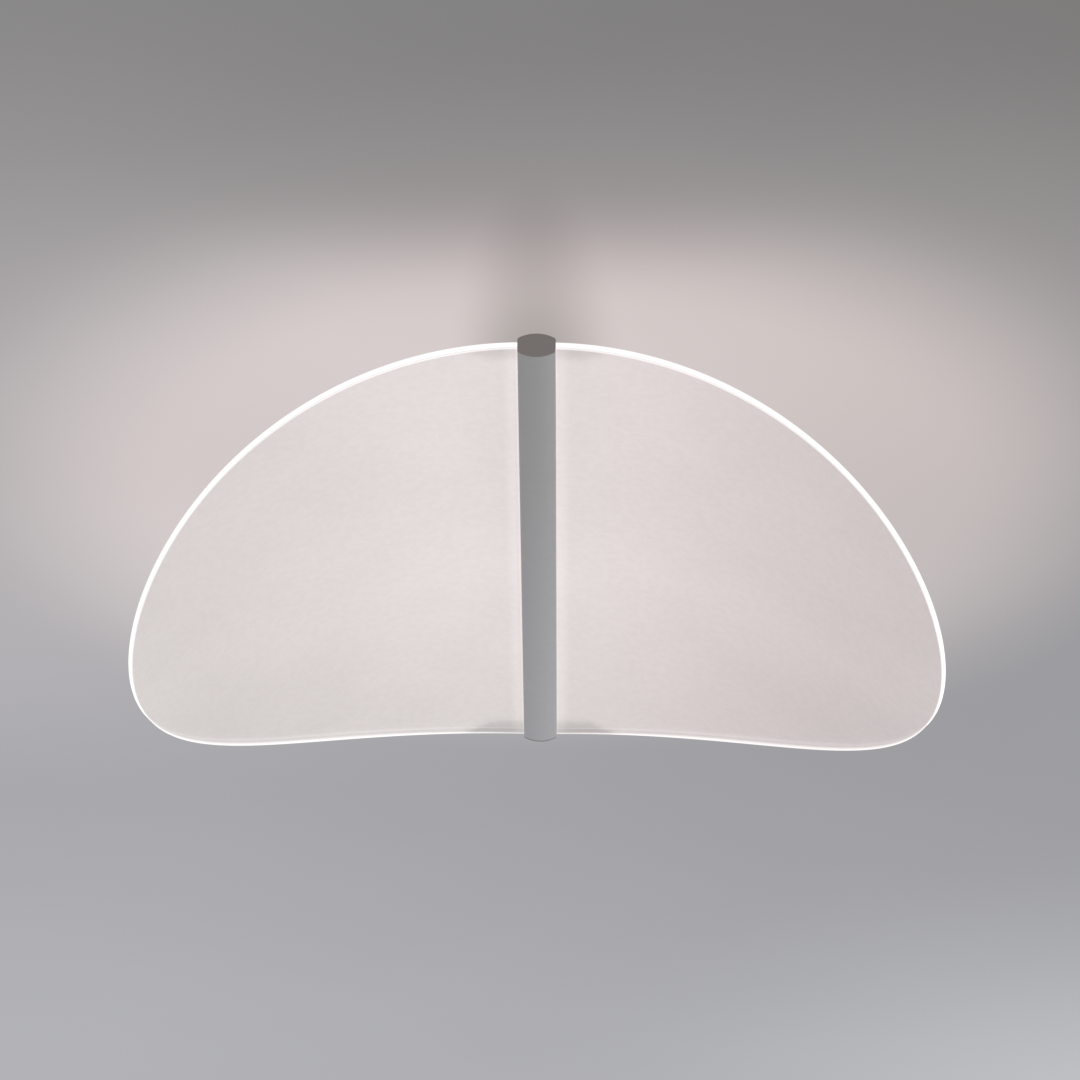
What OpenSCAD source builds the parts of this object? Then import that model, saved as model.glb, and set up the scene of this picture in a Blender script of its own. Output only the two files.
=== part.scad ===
// LED ceiling light: a slim tube hangs on two short stems below a narrow canopy.
// It grips two bent clear sheets, which LED boards inside the tube light through their root edges.
// The origin is the centre of the ceiling face, +Z is up, the tube lies along Y
// and the wings spread along X. Sizes are in millimetres.

/* [Tube] */
// Width of the tube
tube_w = 35; // [34:0.5:40]
// Height of the tube at its middle
tube_h = 24; // [23.5:0.5:26]
// Radius of the tube's crowned top and bottom
crown_r = 32; // [28:1:60]
// Radius of the tube's four long edges
tube_corner_r = 3; // [3:0.5:4]
// Length of the tube over its end caps
tube_len = 790; // [760:5:900]
// Depth of the tube's middle below the ceiling
tube_drop = 60; // [56:1:120]
// Outer wall of the two half shells
shell_wall = 2; // [1.8:0.1:2.3]
// Thickness of the lips that grip the wings
lip_t = 2; // [1.8:0.1:2.2]
// Width of the web in the middle of each half shell
web_w = 13; // [12:0.5:14]
// Thickness of the end caps
cap_t = 2; // [1.5:0.1:4]
// Length of the plugs that hold an end cap in the shells
plug_len = 7; // [6:0.5:12]

/* [Wings] */
// Thickness of the clear sheet
sheet_t = 6; // [5:0.5:6.5]
// Reach of a wing from the tube's axis to its tip, along the sheet
wing_reach = 434; // [300:1:500]
// Bend radius at the middle of the sheet
bend_r = 552; // [480:1:900]
// Thickness of the soft strips between sheet and lips
gasket_t = 0.5; // [0.3:0.1:0.8]
// Width of the soft strips
gasket_w = 3.6; // [2.5:0.1:4]
// Width of the keys on the lips that lock the wings
key_w = 2; // [1.5:0.1:2.5]
// Depth that the keys reach into the sheet
key_depth = 1; // [0.8:0.1:1.2]

/* [Lighting] */
// Width of the core bar that cools the LED boards
core_w = 8; // [7.5:0.1:9]
// Thickness of the LED boards
board_t = 1; // [0.8:0.1:1.2]
// Distance from one LED to the next
led_pitch = 12; // [8:0.5:20]
// Height of an LED above its board
led_h = 0.8; // [0.6:0.1:1]
// Width of an LED across the board
led_w = 2.8; // [2:0.1:3.5]
// Length of an LED along the board
led_len = 3.5; // [2:0.1:3.5]
// Gap from the LEDs to the root edge of a wing
led_gap = 0.5; // [0.3:0.1:0.8]

/* [Stems] */
// Distance between the two stems
stem_spacing = 180; // [150:5:190]
// Diameter of the stems
stem_d = 10; // [8:0.5:10]
// Bore of the stems, which one of them uses for the wires
stem_bore = 7; // [6:0.1:7.5]
// Wall of the spacer sleeves round the stems
sleeve_wall = 1.8; // [1.5:0.1:2]
// Thickness of the stem nuts
nut_t = 3; // [2.5:0.1:4]
// Width across the flats of the stem nuts
nut_af = 14; // [13:0.5:17]

/* [Canopy] */
// Length of the canopy
canopy_len = 380; // [370:5:480]
// Width of the canopy
canopy_w = 34; // [33:0.5:40]
// Height of the canopy
canopy_h = 38; // [37:0.5:42]
// Sheet thickness of the canopy
canopy_wall = 1.5; // [1:0.1:2]
// Radius of the canopy's upright corners
canopy_corner_r = 6; // [5:0.5:8]
// Width of the ceiling bracket
bracket_w = 24; // [22:0.5:24]
// Sheet thickness of the ceiling bracket
bracket_t = 2; // [1.5:0.1:2.5]
// Distance between the two ceiling slots
slot_spacing = 300; // [295:5:310]
// Overall length of a ceiling slot
slot_len = 20; // [10:1:20]
// Width of a ceiling slot
slot_w = 5; // [4:0.1:6]

/* [Driver] */
// Length of the driver's case
driver_len = 150; // [120:1:150]
// Width of the driver's case
driver_w = 26; // [24:0.5:28]
// Height of the driver's case
driver_h = 18; // [17:0.5:20]
// Wall of the driver's case
driver_wall = 1.5; // [1:0.1:2]

/* [Fasteners and wires] */
// Number of screws that close the tube
body_screw_count = 8; // [4:2:8]
// Distance from the tube's ends to the outermost of these screws
body_screw_edge = 27.5; // [15:0.5:40]
// Thread diameter of the body and canopy screws
screw_d = 4; // [3:0.1:4]
// Length of the body screws below their heads
body_screw_len = 18; // [17.5:0.5:18.5]
// Diameter of the lead wires to the LED boards
led_wire_d = 1.3; // [1:0.1:1.4]
// Diameter of the mains wires
mains_wire_d = 1.8; // [1.4:0.1:2]

/* [Hidden] */
$fn = 64;

paint = "#a2a2a3";
cap_grey = "#767372";
clear = "#dcd8d5";
bare_metal = "#b9bbbd";
zinc = "#a8abad";
brass = "#c4a25a";
white_plastic = "#ececea";
board_white = "#f2f2ee";

fit_gap = 0.05;
running_gap = 0.1;
end_gap = 0.3;
tiny = 0.01;
cut_over = 1;

axis_z = -tube_drop;
half_w = tube_w / 2;
half_h = tube_h / 2;
edge_x = half_w - tube_corner_r;
edge_z = half_h - crown_r + sqrt(pow(crown_r - tube_corner_r, 2) - edge_x * edge_x);
edge_lean = edge_x / (crown_r - tube_corner_r);
slot_half = sheet_t / 2 + gasket_t;
lip_top = slot_half + lip_t;
chamber_x = web_w / 2;
shell_len = tube_len - 2 * cap_t;
core_len = shell_len - 2 * end_gap;
channel_half = core_w / 2 + running_gap;

board_x = core_w / 2;
board_h = sheet_t;
board_end_gap = 2;
board_len = core_len - 2 * board_end_gap;
led_x = board_x + board_t;
root_x = led_x + led_h + led_gap;
led_margin = 2;
led_count = floor((board_len - led_len - 2 * led_margin) / led_pitch) + 1;
blade_x = half_w + end_gap;
key_edge = 2.7;
key_x = root_x + key_edge + key_w / 2;
key_side_gap = 0.2;
gasket_side_gap = 0.8;
gasket_x = key_x + key_w / 2 + key_side_gap + gasket_side_gap;
blade_steps = 60;

lead_room = 0.4;
pocket_h = led_wire_d + 2 * lead_room;
stem_y = stem_spacing / 2;
canopy_floor_z = -canopy_h + canopy_wall;
stem_proud = 2;
stem_top_z = canopy_floor_z + nut_t + stem_proud;
stem_bottom_z = axis_z + lip_top + pocket_h;
sleeve_d = stem_d + 2 * sleeve_wall;
sleeve_hole_d = sleeve_d + 2 * running_gap;
sleeve_sink = 0.5;
stem_seat = half_h - crown_drop(sleeve_hole_d) - sleeve_sink;
canopy_inner_w = canopy_w - 2 * canopy_wall;

screw_head_d = 1.75 * screw_d;
screw_head_h = 0.6 * screw_d;
head_gap = 0.3;
screw_sink = 0.8;
body_screw_pitch = (tube_len - 2 * body_screw_edge) / (body_screw_count - 1);
screw_seat = half_h - crown_drop(screw_head_d + 2 * head_gap) - screw_head_h - screw_sink;
blind_extra = 1;
socket_share = 0.55;
socket_floor = 0.45;
cap_screw_d = 3;
cap_screw_len = 3;
cap_screw_edge = 1.3;
cap_screw_sink = 0.3;
grub_socket_h = 1.2;
cap_screw_x = chamber_x + cap_screw_edge + cap_screw_d / 2;
cap_screw_y = tube_len / 2 - cap_t - plug_len / 2;
cap_screw_top = half_h - crown_drop(2 * cap_screw_x + cap_screw_d) - cap_screw_sink;

bracket_end = canopy_len / 2 - canopy_wall - end_gap;
tab_w = 12;
tab_h = 15;
canopy_screw_z = -9;
canopy_screw_len = 8;
entry_r = 4;
grommet_wall = 2;
flange_w = 2;
flange_t = 1.2;
entry_gap = 1;
entry_y = slot_spacing / 2 - slot_len / 2 - entry_r - grommet_wall - flange_w - entry_gap;

driver_top = -bracket_t;
driver_bottom = driver_top - driver_h;
driver_end = driver_len / 2;
port_rise = 1.5;
wire_port_z = driver_top - driver_h / 2 + port_rise;
ear_w = 13;
ear_len = 7;
ear_t = 2;
driver_screw_d = 3;
driver_screw_y = driver_end + ear_len / 2;
pcb_t = 1.6;
pcb_clear = 0.3;
solder_room = 2.4;
pcb_bottom = driver_bottom + driver_wall + solder_room;
pcb_len = driver_len - 2 * driver_wall - 2 * pcb_clear;
pcb_w = driver_w - 2 * driver_wall - 2 * pcb_clear;
pcb_top = pcb_bottom + pcb_t;
part_room = driver_top - driver_wall - pcb_top - end_gap;
part_gap = 6;
driver_terminal_len = 10;
driver_terminal_w = 18;
driver_terminal_y = driver_end - driver_wall - pcb_clear - driver_terminal_len;
bobbin_w = 16;
bobbin_t = 6;
bobbin_flange = 1;
capacitor_d = 10;
capacitor_gap = 2;
capacitor_y = driver_terminal_y - part_gap - capacitor_d - capacitor_gap / 2;
choke_d = 16;
choke_bore = 7;
choke_h = 7;
choke_y = driver_terminal_y - part_gap - choke_d / 2;

pole_pitch = 8;
earth_gap = 3;
earth_x = pole_pitch;
earth_y = driver_end + ear_len + screw_d + earth_gap;
lug_t = 0.8;
lug_len = 8;
lug_w = 3;
barrel_len = 3;
barrel_wall = 0.8;
barrel_floor = 0.5;
barrel_d = mains_wire_d + 2 * barrel_wall;
barrel_z = -bracket_t - (lug_t + barrel_d) / 2;
earth_run = 5;
block_y = earth_y + lug_len + earth_run;
block_len = 20;
block_mid = block_y + block_len / 2;
block_h = 13;
block_w = 3 * pole_pitch;
contact_r = 2.1;
contact_clear = 0.4;
contact_bore_r = mains_wire_d / 2 + contact_clear;
contact_inset = 2;
contact_len = block_len - 2 * contact_inset;
pole_screw_d = 3.4;
pole_screw_tip_d = 2;
pole_screw_sink = 1.2;
pole_screw_y = contact_len / 4;
fix_screw_d = 2.5;
fix_screw_head_d = 3.2;
fix_screw_head_h = 1.5;
fix_seat = 2;

led_wire_r = led_wire_d / 2;
led_wire_off = 1.2;
led_port_pitch = 3;
lead_x = board_x + running_gap + led_wire_r;
lead_slot_gap = 0.3;
lead_slot_w = led_wire_d + 2 * lead_slot_gap;
lead_slot_len = 2 * (led_wire_off + led_wire_d);
lead_z = axis_z + lip_top + pocket_h / 2;
wire_sides = 8;
wire_bend = 1.1;
bend_steps = 4;
wire_side = [0.31, 0.47, 0.83];

// Depth below the tube's top at which a flat of a given width meets its crown
function crown_drop(width) = crown_r - sqrt(crown_r * crown_r - width * width / 4);
function unit(v) = v / norm(v);
function corner(a, b, c, r, n) =
    let (p = b + r * unit(a - b), q = b + r * unit(c - b))
    [for (i = [0:n]) let (t = i / n) (1 - t) * (1 - t) * p + 2 * t * (1 - t) * b + t * t * q];
function route(pts, r, n) = concat(
    [pts[0]],
    [for (i = [1:len(pts) - 2]) each corner(pts[i - 1], pts[i], pts[i + 1], r, n)],
    [pts[len(pts) - 1]]
);
function heading(path, i) =
    let (last = len(path) - 1)
    unit(path[min(i + 1, last)] - path[max(i - 1, 0)]);
function ring(centre, dir, r, sides) =
    let (side = unit(cross(wire_side, dir)), up = cross(dir, side))
    [for (k = [0:sides - 1]) let (a = 360 * k / sides) centre + r * (cos(a) * side + sin(a) * up)];

// A wire of radius r along the points of a path
module wire(path, r) {
    rings = len(path);
    points = [for (i = [0:rings - 1]) each ring(path[i], heading(path, i), r, wire_sides)];
    walls = [
        for (i = [0:rings - 2], k = [0:wire_sides - 1])
        let (a = i * wire_sides + k, b = i * wire_sides + (k + 1) % wire_sides)
        each [[a, a + wire_sides, b + wire_sides], [a, b + wire_sides, b]]
    ];
    start = [for (k = [0:wire_sides - 1]) k];
    end = [for (k = [wire_sides - 1:-1:0]) (rings - 1) * wire_sides + k];
    polyhedron(points, concat([start], walls, [end]), convexity = 6);
}

// Extrudes a profile drawn in the XZ plane along Y, centred
module along_y(length) {
    rotate([90, 0, 0])
    linear_extrude(length, center = true)
    children();
}

// A cylinder along Y from y0 to y1
module rod_y(d, y0, y1) {
    translate([0, y0, 0])
    rotate([-90, 0, 0])
    cylinder(d = d, h = y1 - y0);
}

// Copies at a distance to the rear and, mirrored, to the front
module both_ends(distance) {
    for (flip = [0, 1])
    mirror([0, flip, 0])
    translate([0, distance, 0])
    children();
}

// A screw that points down, with the underside of its head at the origin
module down_screw(d, length, head_d, head_h) {
    difference() {
        union() {
            cylinder(d = head_d, h = head_h);
            translate([0, 0, -length])
            cylinder(d = d, h = length + tiny);
        }
        translate([0, 0, socket_floor * head_h])
        cylinder(d = socket_share * head_d, h = head_h, $fn = 6);
    }
}

// A screw that points up, with the underside of its head at the origin
module up_screw(d, length, head_d, head_h) {
    mirror([0, 0, 1])
    down_screw(d, length, head_d, head_h);
}

module rounded_rect(w, l, r) {
    square([w - 2 * r, l], center = true);
    square([w, l - 2 * r], center = true);
    for (x = [-1, 1], y = [-1, 1])
    translate([x * (w / 2 - r), y * (l / 2 - r)])
    circle(r);
}

module slot_2d(w, l) {
    square([w, l - w], center = true);
    for (y = [-1, 1])
    translate([0, y * (l - w) / 2])
    circle(d = w);
}

// Section of the tube, drawn smaller by inset: a crowned top and bottom with rounded edges
module tube_2d(inset) {
    r = tube_corner_r - inset;
    square([2 * (edge_x + r), 2 * edge_z], center = true);
    intersection() {
        square([2 * (edge_x + r * edge_lean), tube_h], center = true);
        translate([0, half_h - crown_r])
        circle(crown_r - inset);
        translate([0, crown_r - half_h])
        circle(crown_r - inset);
    }
    for (x = [-1, 1], z = [-1, 1])
    translate([x * edge_x, z * edge_z])
    circle(r);
}

// One of the two hollow chambers of a half shell, drawn smaller by inset
module chamber_2d(side, inset) {
    intersection() {
        tube_2d(shell_wall + inset);
        translate([side > 0 ? chamber_x + inset : -half_w - chamber_x - inset, lip_top + inset])
        square([half_w, half_h]);
    }
}

// Section of the half shell above the wings
module shell_2d() {
    difference() {
        intersection() {
            tube_2d(0);
            translate([-half_w, slot_half])
            square([tube_w, half_h]);
        }
        chamber_2d(1, 0);
        chamber_2d(-1, 0);
        translate([-channel_half, 0])
        square([2 * channel_half, lip_top]);
    }
    for (side = [-1, 1])
    translate([side * key_x - key_w / 2, sheet_t / 2 - key_depth])
    square([key_w, gasket_t + key_depth + lip_t / 2]);
}

module at_axis() {
    translate([0, 0, axis_z])
    children();
}

module at_body_screws() {
    for (i = [0:body_screw_count - 1])
    translate([0, (i - (body_screw_count - 1) / 2) * body_screw_pitch, 0])
    children();
}

module at_cap_screws() {
    for (side = [-1, 1])
    both_ends(cap_screw_y)
    translate([side * cap_screw_x, 0, 0])
    children();
}

module upper_shell() {
    color(paint)
    at_axis()
    difference() {
        along_y(shell_len)
        shell_2d();
        at_body_screws() {
            translate([0, 0, slot_half])
            cylinder(d = screw_d + 2 * running_gap, h = tube_h);
            translate([0, 0, screw_seat])
            cylinder(d = screw_head_d + 2 * head_gap, h = tube_h);
        }
        both_ends(stem_y) {
            translate([0, 0, lip_top])
            cylinder(d = stem_d + 2 * fit_gap, h = tube_h);
            translate([0, 0, stem_seat])
            cylinder(d = sleeve_hole_d, h = tube_h);
        }
        translate([-chamber_x - cut_over, -stem_y - stem_d / 2, lip_top])
        cube([web_w + 2 * cut_over, stem_d, pocket_h]);
        for (side = [-1, 1])
        translate([side * lead_x - lead_slot_w / 2, -stem_y - lead_slot_len / 2, slot_half - cut_over])
        cube([lead_slot_w, lead_slot_len, lip_t + cut_over + tiny]);
        at_cap_screws()
        translate([0, 0, lip_top + cut_over])
        cylinder(d = cap_screw_d + 2 * fit_gap, h = tube_h);
    }
}

module lower_shell() {
    color(paint)
    at_axis()
    mirror([0, 0, 1])
    difference() {
        along_y(shell_len)
        shell_2d();
        at_body_screws()
        cylinder(d = screw_d + 2 * fit_gap, h = body_screw_len - screw_seat + blind_extra);
    }
}

module core_bar() {
    color(bare_metal)
    at_axis()
    difference() {
        cube([core_w, core_len, 2 * lip_top], center = true);
        at_body_screws()
        cylinder(d = screw_d + 2 * running_gap, h = 3 * lip_top, center = true);
    }
}

module body_screws() {
    color(zinc)
    at_axis()
    at_body_screws()
    translate([0, 0, screw_seat])
    down_screw(screw_d, body_screw_len, screw_head_d, screw_head_h);
}

// Half the width of a wing at a distance u from the tube's axis, along the sheet
function wing_half(u) = tube_len / 2 * sqrt(max(0, 1 - pow(u / wing_reach, 2)));
function bend_angle(u) = (u - blade_x) / bend_r * 180 / PI;
function sheet_point(u, y, h) =
    let (a = bend_angle(u))
    [blade_x + (bend_r + h) * sin(a), y, (bend_r + h) * cos(a) - bend_r];
function blade_u(i) = wing_reach * cos(acos(blade_x / wing_reach) * (1 - i / blade_steps));

// The bent blade of a wing: an ellipse in the flat sheet, cut square to its faces
module blade() {
    half_t = sheet_t / 2;
    points = concat(
        [
            for (i = [0:blade_steps - 1])
            let (u = blade_u(i), y = wing_half(u))
            each [
                sheet_point(u, -y, half_t), sheet_point(u, y, half_t),
                sheet_point(u, -y, -half_t), sheet_point(u, y, -half_t)
            ]
        ],
        [sheet_point(wing_reach, 0, half_t), sheet_point(wing_reach, 0, -half_t)]
    );
    strips = [
        for (i = [0:blade_steps - 2])
        let (a = 4 * i, b = a + 4)
        each [
            [a, a + 1, b + 1, b], [a + 2, b + 2, b + 3, a + 3],
            [a, b, b + 2], [a, b + 2, a + 2],
            [a + 1, a + 3, b + 3], [a + 1, b + 3, b + 1]
        ]
    ];
    n = 4 * (blade_steps - 1);
    tip = [
        [n, n + 1, n + 4], [n + 2, n + 5, n + 3],
        [n, n + 4, n + 5], [n, n + 5, n + 2],
        [n + 1, n + 3, n + 5], [n + 1, n + 5, n + 4]
    ];
    polyhedron(points, concat([[0, 2, 3, 1]], strips, tip), convexity = 4);
}

// The flat root of a wing inside the tube, with a groove for each key
module wing_root() {
    groove_w = key_w + 2 * key_side_gap;
    groove_d = key_depth + end_gap;
    along_y(core_len)
    difference() {
        translate([root_x, -sheet_t / 2])
        square([blade_x - root_x, sheet_t]);
        for (z = [-sheet_t / 2, sheet_t / 2 - groove_d])
        translate([key_x - groove_w / 2, z])
        square([groove_w, groove_d]);
    }
}

module wing() {
    color(clear, 0.6)
    at_axis() {
        wing_root();
        blade();
    }
}

module right_wing() {
    wing();
}

module left_wing() {
    mirror([1, 0, 0])
    wing();
}

module wing_gaskets() {
    color(clear)
    at_axis()
    for (z = [-1, 1])
    translate([gasket_x + gasket_w / 2, 0, z * (sheet_t + gasket_t) / 2])
    cube([gasket_w, core_len, gasket_t], center = true);
}

module right_wing_gaskets() {
    wing_gaskets();
}

module left_wing_gaskets() {
    mirror([1, 0, 0])
    wing_gaskets();
}

module led_board() {
    color(board_white)
    at_axis()
    translate([board_x, -board_len / 2, -board_h / 2])
    cube([board_t, board_len, board_h]);
}

module right_led_board() {
    led_board();
}

module left_led_board() {
    mirror([1, 0, 0])
    led_board();
}

module leds() {
    color("#f4e58a")
    at_axis()
    for (i = [0:led_count - 1])
    translate([led_x, (i - (led_count - 1) / 2) * led_pitch - led_len / 2, -led_w / 2])
    cube([led_h, led_len, led_w]);
}

module right_leds() {
    leds();
}

module left_leds() {
    mirror([1, 0, 0])
    leds();
}

module end_cap() {
    color(cap_grey)
    at_axis()
    difference() {
        union() {
            translate([0, (tube_len - cap_t) / 2, 0])
            along_y(cap_t)
            tube_2d(0);
            for (side = [-1, 1], half = [0, 1])
            mirror([0, 0, half])
            translate([0, tube_len / 2 - cap_t - plug_len / 2 + tiny / 2, 0])
            along_y(plug_len + tiny)
            chamber_2d(side, 2 * running_gap);
        }
        for (side = [-1, 1])
        translate([side * cap_screw_x, cap_screw_y, cap_screw_top - cap_screw_len])
        cylinder(d = cap_screw_d + 2 * fit_gap, h = tube_h);
    }
}

module rear_end_cap() {
    end_cap();
}

module front_end_cap() {
    mirror([0, 1, 0])
    end_cap();
}

module end_cap_screws() {
    color(zinc)
    at_axis()
    at_cap_screws()
    translate([0, 0, cap_screw_top - cap_screw_len])
    difference() {
        cylinder(d = cap_screw_d, h = cap_screw_len);
        translate([0, 0, cap_screw_len - grub_socket_h])
        cylinder(d = socket_share * cap_screw_d, h = grub_socket_h + cut_over, $fn = 6);
    }
}

module stem() {
    color(zinc)
    translate([0, 0, stem_bottom_z])
    difference() {
        cylinder(d = stem_d, h = stem_top_z - stem_bottom_z);
        translate([0, 0, -cut_over])
        cylinder(d = stem_bore, h = tube_drop);
    }
}

module front_stem() {
    translate([0, -stem_y, 0])
    stem();
}

module rear_stem() {
    translate([0, stem_y, 0])
    stem();
}

module stem_sleeve() {
    color(paint)
    translate([0, 0, axis_z + stem_seat])
    difference() {
        cylinder(d = sleeve_d, h = tube_drop - stem_seat - canopy_h);
        translate([0, 0, -cut_over])
        cylinder(d = stem_d + 2 * running_gap, h = tube_drop);
    }
}

module front_stem_sleeve() {
    translate([0, -stem_y, 0])
    stem_sleeve();
}

module rear_stem_sleeve() {
    translate([0, stem_y, 0])
    stem_sleeve();
}

module stem_nuts() {
    color(brass)
    both_ends(stem_y)
    translate([0, 0, canopy_floor_z])
    difference() {
        cylinder(d = nut_af / cos(30), h = nut_t, $fn = 6);
        translate([0, 0, -cut_over])
        cylinder(d = stem_d + 2 * fit_gap, h = nut_t + 2 * cut_over);
    }
}

module canopy_shell() {
    color(paint)
    difference() {
        translate([0, 0, -canopy_h])
        linear_extrude(canopy_h)
        rounded_rect(canopy_w, canopy_len, canopy_corner_r);
        translate([0, 0, canopy_floor_z])
        linear_extrude(canopy_h)
        rounded_rect(canopy_inner_w, canopy_len - 2 * canopy_wall, canopy_corner_r - canopy_wall);
        both_ends(stem_y)
        translate([0, 0, -canopy_h - cut_over])
        cylinder(d = stem_d + 2 * running_gap, h = canopy_wall + 2 * cut_over);
        both_ends(canopy_len / 2)
        translate([0, 0, canopy_screw_z])
        rod_y(screw_d + 2 * running_gap, -canopy_wall - cut_over, cut_over);
    }
}

module canopy_screws() {
    color(zinc)
    both_ends(canopy_len / 2)
    translate([0, 0, canopy_screw_z])
    rotate([-90, 0, 0])
    down_screw(screw_d, canopy_screw_len, screw_head_d, screw_head_h);
}

// A round hole through the ceiling bracket
module bracket_hole(d) {
    translate([0, 0, -bracket_t - cut_over])
    cylinder(d = d, h = bracket_t + 2 * cut_over);
}

// Copies at the two screws of the terminal block
module at_block_screws() {
    for (side = [-1, 1])
    translate([side * pole_pitch / 2, block_mid, 0])
    children();
}

module ceiling_bracket() {
    color(bare_metal)
    difference() {
        union() {
            translate([-bracket_w / 2, -bracket_end, -bracket_t])
            cube([bracket_w, 2 * bracket_end, bracket_t]);
            both_ends(bracket_end - bracket_t)
            translate([-tab_w / 2, 0, -tab_h])
            cube([tab_w, bracket_t, tab_h]);
        }
        both_ends(slot_spacing / 2)
        translate([0, 0, -bracket_t - cut_over])
        linear_extrude(bracket_t + 2 * cut_over)
        slot_2d(slot_w, slot_len);
        both_ends(bracket_end)
        translate([0, 0, canopy_screw_z])
        rod_y(screw_d + 2 * fit_gap, -bracket_t - cut_over, cut_over);
        translate([0, entry_y, 0])
        bracket_hole(2 * (entry_r + grommet_wall));
        both_ends(driver_screw_y)
        bracket_hole(driver_screw_d + 2 * fit_gap);
        translate([earth_x, earth_y, 0])
        bracket_hole(screw_d + 2 * fit_gap);
        at_block_screws()
        bracket_hole(fix_screw_d + 2 * fit_gap);
    }
}

module cable_grommet() {
    color("#4a4a4a")
    translate([0, entry_y, -bracket_t])
    difference() {
        union() {
            cylinder(r = entry_r + grommet_wall - fit_gap, h = bracket_t);
            translate([0, 0, -flange_t])
            cylinder(r = entry_r + grommet_wall + flange_w, h = flange_t + tiny);
        }
        translate([0, 0, -flange_t - cut_over])
        cylinder(r = entry_r, h = bracket_t + flange_t + 2 * cut_over);
    }
}

// Copies at the wire ports of the driver's output end, one for each LED lead
module at_led_ports() {
    for (i = [-1.5:1:1.5])
    translate([i * led_port_pitch, 0, wire_port_z])
    children();
}

// Copies at the live and neutral poles
module at_mains_ports() {
    for (i = [-1, 0])
    translate([i * pole_pitch, 0, wire_port_z])
    children();
}

module driver_case() {
    color(white_plastic)
    difference() {
        union() {
            translate([-driver_w / 2, -driver_end, driver_bottom])
            cube([driver_w, driver_len, driver_h]);
            both_ends(driver_end - cut_over)
            translate([-ear_w / 2, 0, driver_top - ear_t])
            cube([ear_w, ear_len + cut_over, ear_t]);
        }
        translate([-driver_w / 2 + driver_wall, -driver_end + driver_wall, driver_bottom - cut_over])
        cube([driver_w - 2 * driver_wall, driver_len - 2 * driver_wall, driver_h + cut_over - driver_wall]);
        both_ends(driver_screw_y)
        translate([0, 0, driver_top - ear_t - cut_over])
        cylinder(d = driver_screw_d + 2 * running_gap, h = ear_t + 2 * cut_over);
        at_led_ports()
        rod_y(led_wire_d + 4 * running_gap, -driver_end - cut_over, -driver_end + driver_wall + cut_over);
        at_mains_ports()
        rod_y(mains_wire_d + 4 * running_gap, driver_end - driver_wall - cut_over, driver_end + cut_over);
    }
}

module driver_cover() {
    slack = 2 * (pcb_clear - running_gap);
    color(white_plastic)
    difference() {
        translate([0, 0, driver_bottom])
        linear_extrude(pcb_bottom - driver_bottom)
        square([pcb_w + slack, pcb_len + slack], center = true);
        translate([0, 0, driver_bottom + driver_wall])
        linear_extrude(driver_h)
        square([pcb_w - 2 * driver_wall, pcb_len - 2 * driver_wall], center = true);
    }
}

module driver_board() {
    color("#3c7a52")
    translate([-pcb_w / 2, -pcb_len / 2, pcb_bottom])
    cube([pcb_w, pcb_len, pcb_t]);
}

module driver_transformer() {
    color("#d8b23c")
    translate([0, 0, pcb_top]) {
        translate([-bobbin_w / 2, -bobbin_t / 2, 0])
        cube([bobbin_w, bobbin_t, part_room]);
        translate([-bobbin_w / 2 + bobbin_flange, -1.5 * bobbin_t, bobbin_flange])
        cube([bobbin_w - 2 * bobbin_flange, 3 * bobbin_t, part_room - 2 * bobbin_flange]);
    }
}

module driver_capacitors() {
    color("#30343a")
    for (i = [-1, 1])
    translate([0, capacitor_y + i * (capacitor_d + capacitor_gap) / 2, pcb_top])
    cylinder(d = capacitor_d, h = part_room);
}

module driver_choke() {
    color("#b8623a")
    translate([0, -choke_y, pcb_top])
    difference() {
        cylinder(d = choke_d, h = choke_h);
        translate([0, 0, -cut_over])
        cylinder(d = choke_bore, h = choke_h + 2 * cut_over);
    }
}

module driver_terminals() {
    color("#3f8f57")
    both_ends(driver_terminal_y)
    translate([-driver_terminal_w / 2, 0, pcb_top])
    cube([driver_terminal_w, driver_terminal_len, part_room - end_gap]);
}

module driver_screws() {
    color(zinc)
    both_ends(driver_screw_y)
    translate([0, 0, driver_top - ear_t])
    up_screw(driver_screw_d, ear_t + bracket_t, 2 * driver_screw_d, 0.6 * driver_screw_d);
}

// Copies at the three poles of the terminal block
module at_poles() {
    for (i = [-1:1])
    translate([i * pole_pitch, block_mid, wire_port_z])
    children();
}

module at_pole_screws() {
    at_poles()
    for (side = [-1, 1])
    translate([0, side * pole_screw_y, 0])
    children();
}

module terminal_block() {
    color(white_plastic)
    difference() {
        translate([-block_w / 2, block_y, -bracket_t - block_h])
        cube([block_w, block_len, block_h]);
        at_poles()
        rod_y(2 * (contact_r + fit_gap), -block_len / 2 - cut_over, block_len / 2 + cut_over);
        at_pole_screws()
        mirror([0, 0, 1])
        cylinder(d = pole_screw_d + 2 * fit_gap, h = block_h);
        at_block_screws()
        translate([0, 0, -bracket_t - block_h - cut_over]) {
            cylinder(d = fix_screw_d + 2 * fit_gap, h = block_h + 2 * cut_over);
            cylinder(d = fix_screw_head_d + 2 * fit_gap, h = fix_seat + cut_over);
        }
    }
}

module terminal_contacts() {
    color(brass)
    difference() {
        at_poles()
        rod_y(2 * contact_r, -contact_len / 2, contact_len / 2);
        at_poles()
        rod_y(2 * contact_bore_r, -block_len, block_len);
        at_pole_screws()
        mirror([0, 0, 1])
        cylinder(d = pole_screw_tip_d + 2 * fit_gap, h = block_h);
    }
}

module terminal_screws() {
    head_h = block_h + bracket_t + wire_port_z - contact_r - pole_screw_sink;
    color(zinc)
    at_pole_screws()
    translate([0, 0, -contact_r - fit_gap])
    up_screw(pole_screw_tip_d, contact_r - mains_wire_d / 2, pole_screw_d, head_h);
}

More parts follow.
